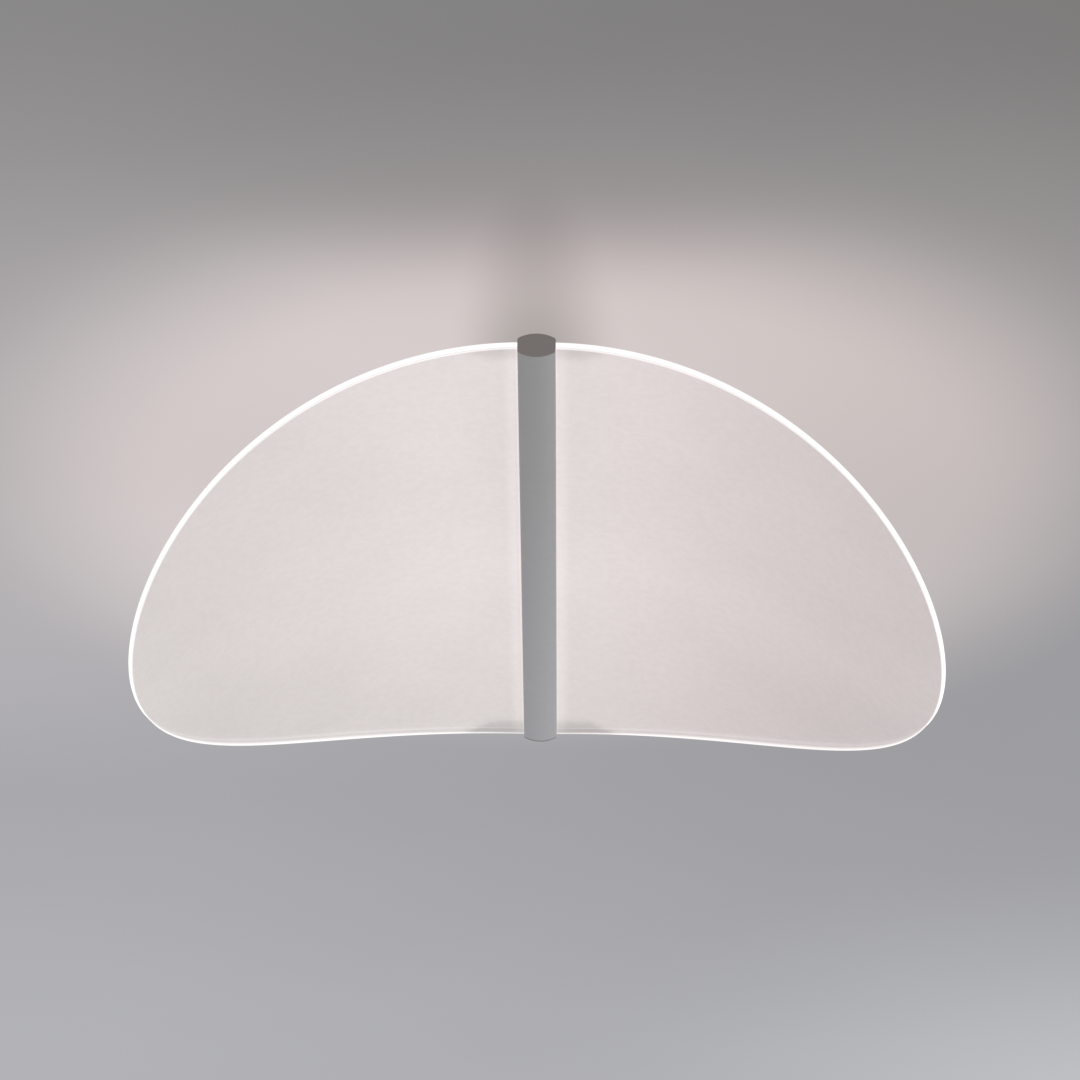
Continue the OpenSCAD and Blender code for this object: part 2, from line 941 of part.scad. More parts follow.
module terminal_fixing_screws() {
    color(zinc)
    at_block_screws()
    translate([0, 0, -bracket_t - block_h + fix_seat])
    up_screw(fix_screw_d, block_h - fix_seat + bracket_t, fix_screw_head_d, fix_screw_head_h);
}

// A mains wire from the terminal block to a port of the driver
module mains_wire(x) {
    wire(
        [
            [x, block_mid, wire_port_z],
            [x, block_y, wire_port_z],
            [x, driver_end - driver_wall - pcb_clear, wire_port_z]
        ],
        mains_wire_d / 2
    );
}

module live_wire() {
    color("#7a4a2c")
    mains_wire(-pole_pitch);
}

module neutral_wire() {
    color("#3c62a8")
    mains_wire(0);
}

module earth_wire() {
    lug_end = earth_y + lug_len;
    color("#6d9a3a")
    wire(
        route(
            [
                [earth_x, block_mid, wire_port_z],
                [earth_x, block_y - wire_bend, wire_port_z],
                [earth_x, lug_end, barrel_z],
                [earth_x, lug_end - barrel_len + barrel_floor, barrel_z]
            ],
            wire_bend,
            bend_steps
        ),
        mains_wire_d / 2
    );
}

module earth_lug() {
    barrel_start = lug_len - barrel_len;
    color(brass)
    difference() {
        union() {
            translate([earth_x, earth_y, -bracket_t - lug_t])
            cylinder(d = 2 * screw_d, h = lug_t);
            translate([earth_x - lug_w / 2, earth_y, -bracket_t - lug_t])
            cube([lug_w, lug_len - barrel_len / 2, lug_t]);
            translate([earth_x, earth_y, barrel_z])
            rod_y(barrel_d, barrel_start, lug_len);
        }
        translate([earth_x, earth_y, -bracket_t - lug_t - cut_over])
        cylinder(d = screw_d + 2 * running_gap, h = lug_t + 2 * cut_over);
        translate([earth_x, earth_y, barrel_z])
        rod_y(mains_wire_d + 2 * fit_gap, barrel_start + barrel_floor, lug_len + cut_over);
    }
}

module earth_screw() {
    color(zinc)
    translate([earth_x, earth_y, -bracket_t - lug_t])
    up_screw(screw_d, lug_t + bracket_t, screw_head_d, screw_head_h);
}

// A lead from the driver through the bore of the front stem to the top edge of an LED board
module led_wire(side, port, off) {
    y = -stem_y + off;
    wire(
        route(
            [
                [side * port * led_port_pitch, -driver_end + driver_wall + pcb_clear, wire_port_z],
                [side * port * led_port_pitch, y, wire_port_z],
                [side * led_wire_off, y, stem_top_z + stem_proud],
                [side * led_wire_off, y, lead_z],
                [side * lead_x, y, lead_z],
                [side * lead_x, y, axis_z + board_h / 2]
            ],
            wire_bend,
            bend_steps
        ),
        led_wire_r
    );
}

module led_wires(side) {
    led_wire(side, 1.5, -led_wire_off);
    led_wire(side, 0.5, led_wire_off);
}

module left_led_wires() {
    color("#c9473c")
    led_wires(-1);
}

module right_led_wires() {
    color("#2f2f33")
    led_wires(1);
}

upper_shell();
lower_shell();
core_bar();
left_wing();
right_wing();
left_led_board();
right_led_board();
left_leds();
right_leds();
left_wing_gaskets();
right_wing_gaskets();
front_end_cap();
rear_end_cap();
end_cap_screws();
body_screws();
front_stem();
rear_stem();
front_stem_sleeve();
rear_stem_sleeve();
stem_nuts();
canopy_shell();
canopy_screws();
ceiling_bracket();
cable_grommet();
driver_case();
driver_cover();
driver_board();
driver_transformer();
driver_capacitors();
driver_choke();
driver_terminals();
driver_screws();
terminal_block();
terminal_contacts();
terminal_screws();
terminal_fixing_screws();
live_wire();
neutral_wire();
earth_wire();
earth_lug();
earth_screw();
left_led_wires();
right_led_wires();
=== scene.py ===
import math

import bmesh
import bpy
from mathutils import Matrix, Vector


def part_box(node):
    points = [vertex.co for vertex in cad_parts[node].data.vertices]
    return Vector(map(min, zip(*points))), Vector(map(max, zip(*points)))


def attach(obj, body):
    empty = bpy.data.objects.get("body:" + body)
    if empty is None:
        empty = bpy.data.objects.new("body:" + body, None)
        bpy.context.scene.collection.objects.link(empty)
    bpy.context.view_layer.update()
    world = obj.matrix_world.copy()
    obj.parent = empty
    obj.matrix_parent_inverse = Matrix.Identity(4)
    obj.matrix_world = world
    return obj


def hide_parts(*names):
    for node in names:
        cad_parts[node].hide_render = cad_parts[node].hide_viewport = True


bl_info = {
    "name": "Edge Lit Ceiling Light",
    "version": (1, 0, 0),
    "blender": (4, 5, 0),
    "location": "3D View > Sidebar > Ceiling Light",
    "description": "Builds and finishes a tube with two bent clear wings that glow along their edges",
    "category": "Object",
}

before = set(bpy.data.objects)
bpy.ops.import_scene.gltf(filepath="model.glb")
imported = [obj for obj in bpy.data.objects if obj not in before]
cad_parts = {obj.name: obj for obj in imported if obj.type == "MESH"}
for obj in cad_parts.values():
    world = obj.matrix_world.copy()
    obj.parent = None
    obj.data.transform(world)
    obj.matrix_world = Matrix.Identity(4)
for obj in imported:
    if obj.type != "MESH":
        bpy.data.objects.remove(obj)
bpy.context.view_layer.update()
BODY = "root"
MM = 0.001
TINY = 1e-6
SHARP_ANGLE = math.radians(30)
FIT_TOLERANCE = 0.5 * MM

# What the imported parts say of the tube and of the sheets
CAP_LOW, CAP_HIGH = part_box("front_end_cap")
TUBE_HALF_WIDTH = (CAP_HIGH.x - CAP_LOW.x) / 2
TUBE_Z = (CAP_HIGH.z + CAP_LOW.z) / 2
TUBE_HALF_LENGTH = -CAP_LOW.y
CORE_HALF_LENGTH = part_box("core_bar")[1].y
WING_LOW, WING_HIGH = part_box("right_wing")
SHEET_THICKNESS = 2 * (WING_HIGH.z - TUBE_Z)
ROOT_X = WING_LOW.x

# Colours of the hidden parts
ALUMINIUM = (0.72, 0.73, 0.74)
ZINC = (0.55, 0.56, 0.57)
BRASS = (0.7, 0.52, 0.24)
COPPER = (0.6, 0.26, 0.14)
PHOSPHOR = (0.9, 0.8, 0.32)
BOARD_WHITE = (0.88, 0.88, 0.85)
BOARD_GREEN = (0.05, 0.2, 0.09)
SILICONE = (0.75, 0.74, 0.73)
BLACK_RUBBER = (0.05, 0.05, 0.05)
CASE_WHITE = (0.82, 0.82, 0.8)
TERMINAL_WHITE = (0.8, 0.8, 0.76)
TERMINAL_GREEN = (0.06, 0.3, 0.13)
TAPE_YELLOW = (0.68, 0.48, 0.06)
SLEEVE_BLACK = (0.03, 0.035, 0.045)
EARTH_GREEN = (0.2, 0.36, 0.04)
WHITE = (1.0, 1.0, 1.0)

# How much of the view the haze in a clear sheet covers, and how strongly the sheet bends light
SHEET_COVER = 0.8
ACRYLIC_IOR = 1.49

# One scale for all three axes
EVEN = (1.0, 1.0, 1.0)

# Most of a noise lies between these levels
NOISE_LOW, NOISE_HIGH = 0.3, 0.7

# Where a Mix node has its colours
MIX_FIRST, MIX_SECOND, MIX_RESULT = 6, 7, 2


class SheetSettings(bpy.types.PropertyGroup):
    """Sizes of the two bent clear sheets."""

    reach: bpy.props.FloatProperty(
        name="Reach",
        description="Distance along a sheet from the tube's axis to its tip",
        default=0.434,
        unit="LENGTH",
    )
    bend_radius: bpy.props.FloatProperty(
        name="Bend radius",
        description="Radius of the bend at the middle of the sheet",
        default=0.552,
        unit="LENGTH",
    )
    polish: bpy.props.FloatProperty(
        name="Polished corner",
        description="Width of the flame polished corner along the edges",
        default=0.0005,
        unit="LENGTH",
    )
    rim_glow: bpy.props.FloatProperty(
        name="Rim glow",
        description="Width of the bright line in the faces along the rim, at the tips",
        default=0.001,
        unit="LENGTH",
    )
    groove_start: bpy.props.FloatProperty(
        name="Groove start",
        description="Distance from the tube's axis to the grooves that the keys hold",
        default=0.0088,
        unit="LENGTH",
    )
    groove_width: bpy.props.FloatProperty(
        name="Groove width",
        description="Width of the grooves in the root of a sheet",
        default=0.0024,
        unit="LENGTH",
    )
    groove_depth: bpy.props.FloatProperty(
        name="Groove depth",
        description="Depth of the grooves in the root of a sheet",
        default=0.0013,
        unit="LENGTH",
    )


class FinishSettings(bpy.types.PropertyGroup):
    """Colours and light of the finishes."""

    # The tube's two coats are painted shade and painted light: the front end darker where less light
    # falls, the rear end lighter where more falls
    tube: bpy.props.FloatVectorProperty(
        name="Tube",
        description="Satin powder coat of the tube's front end",
        default=(0.324, 0.315, 0.318),
        subtype="COLOR",
    )
    tube_rear_lit: bpy.props.FloatVectorProperty(
        name="Tube's rear end",
        description="Satin powder coat of the tube's rear end, its sleeves and the canopy",
        default=(0.371, 0.366, 0.386),
        subtype="COLOR",
    )
    cap: bpy.props.FloatVectorProperty(
        name="End caps",
        description="Matt powder coat of the end caps",
        default=(0.197, 0.171, 0.16),
        subtype="COLOR",
    )
    sheet: bpy.props.FloatVectorProperty(
        name="Sheet haze",
        description="Colour of the fine haze in the clear sheets",
        default=(0.62, 0.577, 0.568),
        subtype="COLOR",
    )
    edge: bpy.props.FloatVectorProperty(
        name="Edge light",
        description="Colour of the light that leaves the edges",
        default=(1.0, 0.985, 0.97),
        subtype="COLOR",
    )
    edge_strength: bpy.props.FloatProperty(
        name="Edge strength",
        description="Strength of the light that leaves the edges",
        default=0.85,
    )
    sheet_strength: bpy.props.FloatProperty(
        name="Face strength",
        description="Strength of the light that leaves the faces",
        default=1.0,
    )


class StageSettings(bpy.types.PropertyGroup):
    """The ceiling, the floor, the daylight and the camera."""

    # The ceiling's colours are painted light and shade: darker in front, lighter behind and towards the
    # far wall, with the glow of the edges painted on it
    ceiling_front: bpy.props.FloatVectorProperty(
        name="Ceiling in front",
        description="Colour of the ceiling in front of the light",
        default=(0.2565, 0.2515, 0.2565),
        subtype="COLOR",
    )
    ceiling_back: bpy.props.FloatVectorProperty(
        name="Ceiling behind",
        description="Colour of the ceiling just behind the light",
        default=(0.393, 0.3915, 0.4155),
        subtype="COLOR",
    )
    ceiling_far: bpy.props.FloatVectorProperty(
        name="Far ceiling",
        description="Colour of the ceiling towards the far wall",
        default=(0.4505, 0.451, 0.474),
        subtype="COLOR",
    )
    ceiling_glow: bpy.props.FloatVectorProperty(
        name="Ceiling glow",
        description="Light that the edges throw on the ceiling",
        default=(0.2355, 0.191, 0.1725),
        subtype="COLOR",
    )
    floor: bpy.props.FloatVectorProperty(
        name="Floor",
        description="Colour of the plain floor",
        default=(0.78, 0.775, 0.77),
        subtype="COLOR",
    )
    floor_depth: bpy.props.FloatProperty(
        name="Floor depth",
        description="Distance from the ceiling down to the floor",
        default=6.5,
        unit="LENGTH",
    )
    daylight: bpy.props.FloatProperty(
        name="Daylight",
        description="Strength of the even light all around",
        default=0.85,
    )
    lens: bpy.props.FloatProperty(
        name="Lens",
        description="Focal length in millimetres on a 36 mm sensor",
        default=140.07,
    )
    camera_place: bpy.props.FloatVectorProperty(
        name="Camera place",
        description="Where the camera stands, below and in front of the light",
        default=(0.04172, -3.65506, -2.07728),
        subtype="TRANSLATION",
        unit="LENGTH",
    )
    camera_tilt: bpy.props.FloatProperty(
        name="Camera tilt",
        description="Angle of the view above the horizon",
        default=0.50766,
        unit="ROTATION",
    )
    camera_pan: bpy.props.FloatProperty(
        name="Camera pan",
        description="Angle of the view to the right of straight ahead",
        default=-0.0111,
        unit="ROTATION",
    )
    camera_roll: bpy.props.FloatProperty(
        name="Camera roll",
        description="Turn of the camera about its own view",
        default=0.01309,
        unit="ROTATION",
    )


def fresh_material(name):
    """A new material, its node tree and its shader."""
    material = bpy.data.materials.new(name)
    material.use_nodes = True
    tree = material.node_tree
    return material, tree, tree.nodes["Principled BSDF"]


def shade(colour, factor):
    """The colour, lighter or darker."""
    return tuple(min(1.0, c * factor) for c in colour[:3])


def attribute(tree, name):
    """A number that the mesh stores at each point."""
    node = tree.nodes.new("ShaderNodeAttribute")
    node.attribute_name = name
    return node.outputs["Fac"]


def object_position(tree, scale=EVEN, offset=(0.0, 0.0, 0.0)):
    """Position on the object in metres, moved by offset and then scaled."""
    place = tree.nodes.new("ShaderNodeTexCoord")
    mapping = tree.nodes.new("ShaderNodeMapping")
    mapping.inputs["Location"].default_value = [o * s for o, s in zip(offset, scale)]
    mapping.inputs["Scale"].default_value = scale
    tree.links.new(place.outputs["Object"], mapping.inputs["Vector"])
    return mapping.outputs["Vector"]


def object_axis(tree, axis):
    """One coordinate on the object in metres."""
    parts = tree.nodes.new("ShaderNodeSeparateXYZ")
    tree.links.new(object_position(tree), parts.inputs["Vector"])
    return parts.outputs[axis]


def noise(tree, per_metre, detail=3.0, stretch=EVEN):
    """Soft noise with about per_metre blotches to the metre."""
    texture = tree.nodes.new("ShaderNodeTexNoise")
    texture.inputs["Scale"].default_value = 1.0
    texture.inputs["Detail"].default_value = detail
    scale = [per_metre * s for s in stretch]
    tree.links.new(object_position(tree, scale), texture.inputs["Vector"])
    return texture.outputs["Fac"]


def ramp(tree, value, low, high, start=0.0, end=1.0):
    """A number that runs smoothly from start to end while value goes from low to high."""
    node = tree.nodes.new("ShaderNodeMapRange")
    node.interpolation_type = "SMOOTHSTEP"
    node.inputs["From Min"].default_value = low
    node.inputs["From Max"].default_value = high
    node.inputs["To Min"].default_value = start
    node.inputs["To Max"].default_value = end
    tree.links.new(value, node.inputs["Value"])
    return node.outputs["Result"]


def wander(tree, per_metre, low, high):
    """A number that wanders between low and high, with about per_metre blotches to the metre."""
    return ramp(tree, noise(tree, per_metre), NOISE_LOW, NOISE_HIGH, low, high)


def math_node(tree, operation, first, second):
    """Two values, sockets or numbers, put together."""
    node = tree.nodes.new("ShaderNodeMath")
    node.operation = operation
    for socket, value in zip(node.inputs, (first, second)):
        if isinstance(value, bpy.types.NodeSocket):
            tree.links.new(value, socket)
        else:
            socket.default_value = value
    return node.outputs["Value"]


def product(tree, first, *others):
    """Values, sockets or numbers, multiplied."""
    for other in others:
        first = math_node(tree, "MULTIPLY", first, other)
    return first


def mix_colours(tree, factor, first, second):
    """A colour between first and second, each a socket or a colour."""
    node = tree.nodes.new("ShaderNodeMix")
    node.data_type = "RGBA"
    tree.links.new(factor, node.inputs["Factor"])
    for place, value in ((MIX_FIRST, first), (MIX_SECOND, second)):
        if isinstance(value, bpy.types.NodeSocket):
            tree.links.new(value, node.inputs[place])
        else:
            node.inputs[place].default_value = (*value[:3], 1.0)
    return node.outputs[MIX_RESULT]


def add_colour(tree, total, level, colour):
    """The colour total with level times another colour added."""
    node = tree.nodes.new("ShaderNodeVectorMath")
    node.operation = "MULTIPLY_ADD"
    node.inputs[1].default_value = colour
    tree.links.new(level, node.inputs[0])
    tree.links.new(total, node.inputs[2])
    return node.outputs["Vector"]


def multiply_colours(tree, first, second):
    """Two colours multiplied."""
    node = tree.nodes.new("ShaderNodeVectorMath")
    node.operation = "MULTIPLY"
    tree.links.new(first, node.inputs[0])
    tree.links.new(second, node.inputs[1])
    return node.outputs["Vector"]


def scale_colour(tree, colour, factor):
    """The colour times a number."""
    node = tree.nodes.new("ShaderNodeVectorMath")
    node.operation = "SCALE"
    tree.links.new(colour, node.inputs["Vector"])
    tree.links.new(factor, node.inputs["Scale"])
    return node.outputs["Vector"]


def soft_spot(tree, centre, size, core=0.0):
    """A number that is 1 in the core of a round spot and falls softly to 0 at its rim."""
    spot = tree.nodes.new("ShaderNodeTexGradient")
    spot.gradient_type = "SPHERICAL"
    scale = (1 / size[0], 1 / size[1], 0.0)
    place = object_position(tree, scale, (-centre[0], -centre[1], 0.0))
    tree.links.new(place, spot.inputs["Vector"])
    return ramp(tree, spot.outputs["Fac"], 0.0, 1.0 - core)


def bump(tree, shader, height, depth, strength):
    """Raises the surface by depth where height is 1."""
    node = tree.nodes.new("ShaderNodeBump")
    node.inputs["Strength"].default_value = strength
    node.inputs["Distance"].default_value = depth
    tree.links.new(height, node.inputs["Height"])
    tree.links.new(node.outputs["Normal"], shader.inputs["Normal"])


def mottle(tree, shader, colour, per_metre, spread, stretch=EVEN):
    """Base colour with soft light and dark patches."""
    patches = noise(tree, per_metre, stretch=stretch)
    mixed = mix_colours(tree, patches, shade(colour, 1 - spread), shade(colour, 1 + spread))
    tree.links.new(mixed, shader.inputs["Base Color"])


def vary_roughness(tree, shader, per_metre, roughness):
    """Roughness that wanders between its two values, with about per_metre blotches to the metre."""
    tree.links.new(wander(tree, per_metre, *roughness), shader.inputs["Roughness"])


def powder_coat(name, colour, roughness=(0.36, 0.46), rear=None):
    """Baked paint with a very fine orange peel. If a rear colour is given, the coat runs from its own
    colour at the front to that colour at the rear: painted shade at the front and painted light at the
    rear.
    """
    material, tree, shader = fresh_material(name)
    mottle(tree, shader, colour, per_metre=25, spread=0.02)
    # Painted light and shade along the tube: darker at the front end, lighter at the rear end, as the
    # light falls on it
    if rear:
        shaded_front_coat = shader.inputs["Base Color"].links[0].from_socket
        along = ramp(tree, object_axis(tree, "Y"), -TUBE_HALF_LENGTH, TUBE_HALF_LENGTH)
        tree.links.new(mix_colours(tree, along, shaded_front_coat, rear), shader.inputs["Base Color"])
    vary_roughness(tree, shader, 120, roughness)
    orange_peel = noise(tree, per_metre=1400, detail=2.0)
    bump(tree, shader, orange_peel, depth=0.03 * MM, strength=0.6)
    return material


def brushed_metal(name, colour, roughness):
    """Metal with fine lines along the tube."""
    lines_per_metre = (700.0, 14.0, 700.0)
    material, tree, shader = fresh_material(name)
    shader.inputs["Metallic"].default_value = 1.0
    mottle(tree, shader, colour, per_metre=1.0, spread=0.06, stretch=lines_per_metre)
    vary_roughness(tree, shader, 60, roughness)
    lines = noise(tree, per_metre=1.0, detail=4.0, stretch=lines_per_metre)
    bump(tree, shader, lines, depth=0.02 * MM, strength=0.5)
    return material


def plated_metal(name, colour, tint, roughness):
    """Bright plating with the cloudy tint of its bath."""
    material, tree, shader = fresh_material(name)
    shader.inputs["Metallic"].default_value = 1.0
    clouds = noise(tree, per_metre=160, detail=4.0)
    tree.links.new(mix_colours(tree, clouds, colour, tint), shader.inputs["Base Color"])
    vary_roughness(tree, shader, 400, roughness)
    bump(tree, shader, noise(tree, per_metre=2500, detail=2.0), depth=0.01 * MM, strength=0.4)
    return material


def moulded_plastic(name, colour, roughness=(0.42, 0.55), texture=0.03 * MM):
    """Moulded plastic with a spark eroded texture of the given depth."""
    material, tree, shader = fresh_material(name)
    mottle(tree, shader, colour, per_metre=40, spread=0.03)
    vary_roughness(tree, shader, 200, roughness)
    bump(tree, shader, noise(tree, per_metre=3000, detail=2.0), depth=texture, strength=0.5)
    return material


def rubber(name, colour):
    """Matt rubber with a dusty bloom."""
    material, tree, shader = fresh_material(name)
    mottle(tree, shader, colour, per_metre=90, spread=0.25)
    vary_roughness(tree, shader, 150, (0.7, 0.9))
    bump(tree, shader, noise(tree, per_metre=1500), depth=0.05 * MM, strength=0.5)
    return material


def circuit_board(name, colour):
    """Solder mask over copper tracks."""
    tracks_per_metre = (120.0, 90.0, 120.0)
    gap = 0.09
    shades = {"Color1": 0.8, "Color2": 1.1, "Mortar": 2.2}
    material, tree, shader = fresh_material(name)
    tracks = tree.nodes.new("ShaderNodeTexBrick")
    tracks.offset_frequency = 3
    tracks.inputs["Scale"].default_value = 1.0
    tracks.inputs["Mortar Size"].default_value = gap
    for socket, factor in shades.items():
        tracks.inputs[socket].default_value = (*shade(colour, factor), 1.0)
    tree.links.new(object_position(tree, tracks_per_metre), tracks.inputs["Vector"])
    tree.links.new(tracks.outputs["Color"], shader.inputs["Base Color"])
    vary_roughness(tree, shader, 300, (0.25, 0.4))
    bump(tree, shader, tracks.outputs["Fac"], depth=0.04 * MM, strength=0.6)
    return material


def banded(name, colour, per_metre, depth, roughness, direction="Y", spread=0.1):
    """A wound or wrapped surface, with bands along one direction."""
    material, tree, shader = fresh_material(name)
    bands = tree.nodes.new("ShaderNodeTexWave")
    bands.bands_direction = direction
    bands.wave_profile = "SIN"
    bands.inputs["Scale"].default_value = 1.0
    bands.inputs["Distortion"].default_value = 0.6
    scale = (per_metre / math.tau * 2,) * 3
    tree.links.new(object_position(tree, scale), bands.inputs["Vector"])
    dark, light = shade(colour, 1 - spread), shade(colour, 1 + spread)
    mixed = mix_colours(tree, bands.outputs["Fac"], dark, light)
    tree.links.new(mixed, shader.inputs["Base Color"])
    vary_roughness(tree, shader, 500, roughness)
    bump(tree, shader, bands.outputs["Fac"], depth, strength=0.8)
    return material


def copper_winding(name, colour, centre):
    """Enamelled wire wound round a ring, so its turns are spokes."""
    turns = 34
    # The grooves between the turns are painted shade and the crowns of the turns a painted highlight
    groove, crown_highlight = shade(colour, 0.5), shade(colour, 1.2)
    material, tree, shader = fresh_material(name)
    shader.inputs["Metallic"].default_value = 0.8
    spokes = tree.nodes.new("ShaderNodeTexGradient")
    spokes.gradient_type = "RADIAL"
    place = object_position(tree, offset=(-centre.x, -centre.y, 0.0))
    tree.links.new(place, spokes.inputs["Vector"])
    angle = product(tree, spokes.outputs["Fac"], turns * math.tau)
    level = ramp(tree, math_node(tree, "SINE", angle, 0.0), -1.0, 1.0)
    tree.links.new(mix_colours(tree, level, groove, crown_highlight), shader.inputs["Base Color"])
    vary_roughness(tree, shader, 300, (0.25, 0.4))
    bump(tree, shader, level, depth=0.4 * MM, strength=0.8)
    return material


def glowing_dot(name, colour, strength):
    """Phosphor that glows, with a slightly uneven face."""
    warm, cool = (1.0, 0.9, 0.7), (1.0, 0.97, 0.9)
    material, tree, shader = fresh_material(name)
    mottle(tree, shader, colour, per_metre=700, spread=0.08)
    vary_roughness(tree, shader, 500, (0.2, 0.3))
    glow = mix_colours(tree, noise(tree, per_metre=900), warm, cool)
    tree.links.new(glow, shader.inputs["Emission Color"])
    shader.inputs["Emission Strength"].default_value = strength
    return material


def haze_colour(tree, colour, across):
    """Colour of the haze, which darkens from the root to the tip, with a painted warm reflection of the
    room's light that grows towards the right.
    """
    tip_colour, painted_right_warmth = shade(colour, 0.84), (0.97, 0.935, 0.945)
    towards_tip = ramp(tree, attribute(tree, "reach"), 0.1, 1.0)
    # Painted reflection: a warm tint of the room's light, stronger towards the right
    towards_right = ramp(tree, across, 0.0, 0.2)
    haze = mix_colours(tree, towards_tip, colour, tip_colour)
    return multiply_colours(tree, haze, mix_colours(tree, towards_right, WHITE, painted_right_warmth))


def haze_level(tree, across, along, root, dots):
    """Light of the haze: clouds, grain and dots break it up, and it's brightest at the root."""
    clouds = wander(tree, per_metre=9, low=0.985, high=1.015)
    grain = wander(tree, per_metre=130, low=0.98, high=1.02)
    specks = ramp(tree, dots, 0.06, 0.18, start=1.06, end=1.0)
    corners = ramp(tree, attribute(tree, "corner"), 0.0, 1.0, start=1.0, end=0.76)
    # Painted shade: the haze is a little darker towards the rear
    rear = ramp(tree, along, 0.0, 0.38, start=1.0, end=0.9)
    level = product(tree, clouds, grain, specks, corners, rear)

    # A soft glow and a bright line where the sheet leaves the tube, the LEDs' own light; each is
    # stronger on the left, painted light that makes up for the tube's shadow on the left sheet
    for width, left, right in ((16 * MM, 0.16, 0.14), (2.5 * MM, 0.28, 0.12)):
        at_root = ramp(tree, root, 0.0, width, start=1.0, end=0.0)
        strength = ramp(tree, across, -MM, MM, start=left, end=right)
        level = math_node(tree, "ADD", level, product(tree, at_root, strength))
    return level


def rim_line(tree, width, along, root):
    """A line along the rim of the given width at the tips, where it is narrowest. It widens towards the
    front and far more towards the rear, away from the root: this widening is painted light of the
    edge's glow seen in the faces.
    """
    front_widening, rear_widening = 3.2, 7.6
    front = ramp(tree, along, -TUBE_HALF_LENGTH, -0.25, start=front_widening, end=1.0)
    # Painted light: the line is widened at the rear, where the far edge's glow shows through the sheet
    rear = ramp(tree, along, 0.03, 0.38, start=0.0, end=rear_widening)
    off_root = ramp(tree, root, -0.07, 0.19)
    widening = math_node(tree, "ADD", product(tree, rear, off_root), front)
    depth = math_node(tree, "DIVIDE", attribute(tree, "rim"), widening)
    return ramp(tree, depth, 0.3 * width, 1.2 * width, start=1.0, end=0.0)


def clear_sheet(name, sheet, finish):
    """Clear sheet with a fine haze of dots, lit from its root, with a bright line at its rim."""
    dots_per_metre = 170.0
    line_strength, haze_share = 0.675, 2 / 3
    material, tree, shader = fresh_material(name)
    across, along = object_axis(tree, "X"), object_axis(tree, "Y")
    root = attribute(tree, "root")
    dots = tree.nodes.new("ShaderNodeTexVoronoi")
    dots.inputs["Scale"].default_value = 1.0
    tree.links.new(object_position(tree, (dots_per_metre,) * 3), dots.inputs["Vector"])

    # The faces show the lit haze, and close to the rim the edge's own light
    haze = haze_colour(tree, finish.sheet, across)
    level = haze_level(tree, across, along, root, dots.outputs["Distance"])
    haze_glow = scale_colour(tree, haze, product(tree, level, haze_share))
    glow = mix_colours(tree, rim_line(tree, sheet.rim_glow, along, root), haze_glow, finish.edge)
    tree.links.new(scale_colour(tree, haze, level), shader.inputs["Base Color"])
    tree.links.new(glow, shader.inputs["Emission Color"])
    shader.inputs["Emission Strength"].default_value = line_strength * finish.sheet_strength
    shader.inputs["Alpha"].default_value = SHEET_COVER
    shader.inputs["IOR"].default_value = ACRYLIC_IOR
    vary_roughness(tree, shader, 30, (0.16, 0.24))
    bump(tree, shader, dots.outputs["Distance"], depth=0.01 * MM, strength=0.2)
    return material


def glowing_edge(name, finish):
    """The polished edge, where the light leaves the sheet.

    Seen through the sheet only its lower part glows, and the rest is as dull as the haze.
    """
    wall, inner_wall = shade(finish.edge, 0.3), (0.1, 0.1, 0.1)
    open_dark, corner_dark = shade(finish.sheet, 0.94), shade(finish.sheet, 0.19)
    material, tree, shader = fresh_material(name)
    height = attribute(tree, "height")
    inside = tree.nodes.new("ShaderNodeNewGeometry").outputs["Backfacing"]
    streaks = noise(tree, per_metre=30, detail=2.0)
    light = mix_colours(tree, streaks, shade(finish.edge, 0.96), finish.edge)
    off_middle = math_node(tree, "ABSOLUTE", height, 0.0)
    light = scale_colour(tree, light, ramp(tree, off_middle, 0.5, 1.0, start=1.0, end=0.75))
    in_corner = ramp(tree, attribute(tree, "corner"), 0.0, 1.0)
    dark = mix_colours(tree, in_corner, open_dark, corner_dark)
    inner_light = mix_colours(tree, ramp(tree, height, -1.0, 0.2), light, dark)
    tree.links.new(mix_colours(tree, inside, light, inner_light), shader.inputs["Emission Color"])
    tree.links.new(mix_colours(tree, inside, wall, inner_wall), shader.inputs["Base Color"])
    shader.inputs["Emission Strength"].default_value = finish.edge_strength
    vary_roughness(tree, shader, 60, (0.1, 0.2))
    return material


def place_piece(piece, slot, *nodes):
    """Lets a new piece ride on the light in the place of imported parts."""
    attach(piece, BODY)
    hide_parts(*nodes)


def new_piece(name, mesh, materials):
    """An object of the mesh with its materials."""
    piece = bpy.data.objects.new(name, mesh)
    bpy.context.scene.collection.objects.link(piece)
    for material in materials:
        mesh.materials.append(material)
    return piece


def coat(material, *nodes):
    """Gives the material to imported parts."""
    for name in nodes:
        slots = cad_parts[name].material_slots
        if not slots:
            raise RuntimeError(f"{name} has no material slot")
        for slot in slots:
            slot.material = material


def mesh_from(bm, name):
    """Closes the work on a mesh: outward normals, and smooth faces with crisp corners."""
    bmesh.ops.recalc_face_normals(bm, faces=bm.faces)
    for face in bm.faces:
        face.smooth = True
    mesh = bpy.data.meshes.new(name)
    bm.to_mesh(mesh)
    bm.free()
    mesh.set_sharp_from_angle(angle=SHARP_ANGLE)
    return mesh


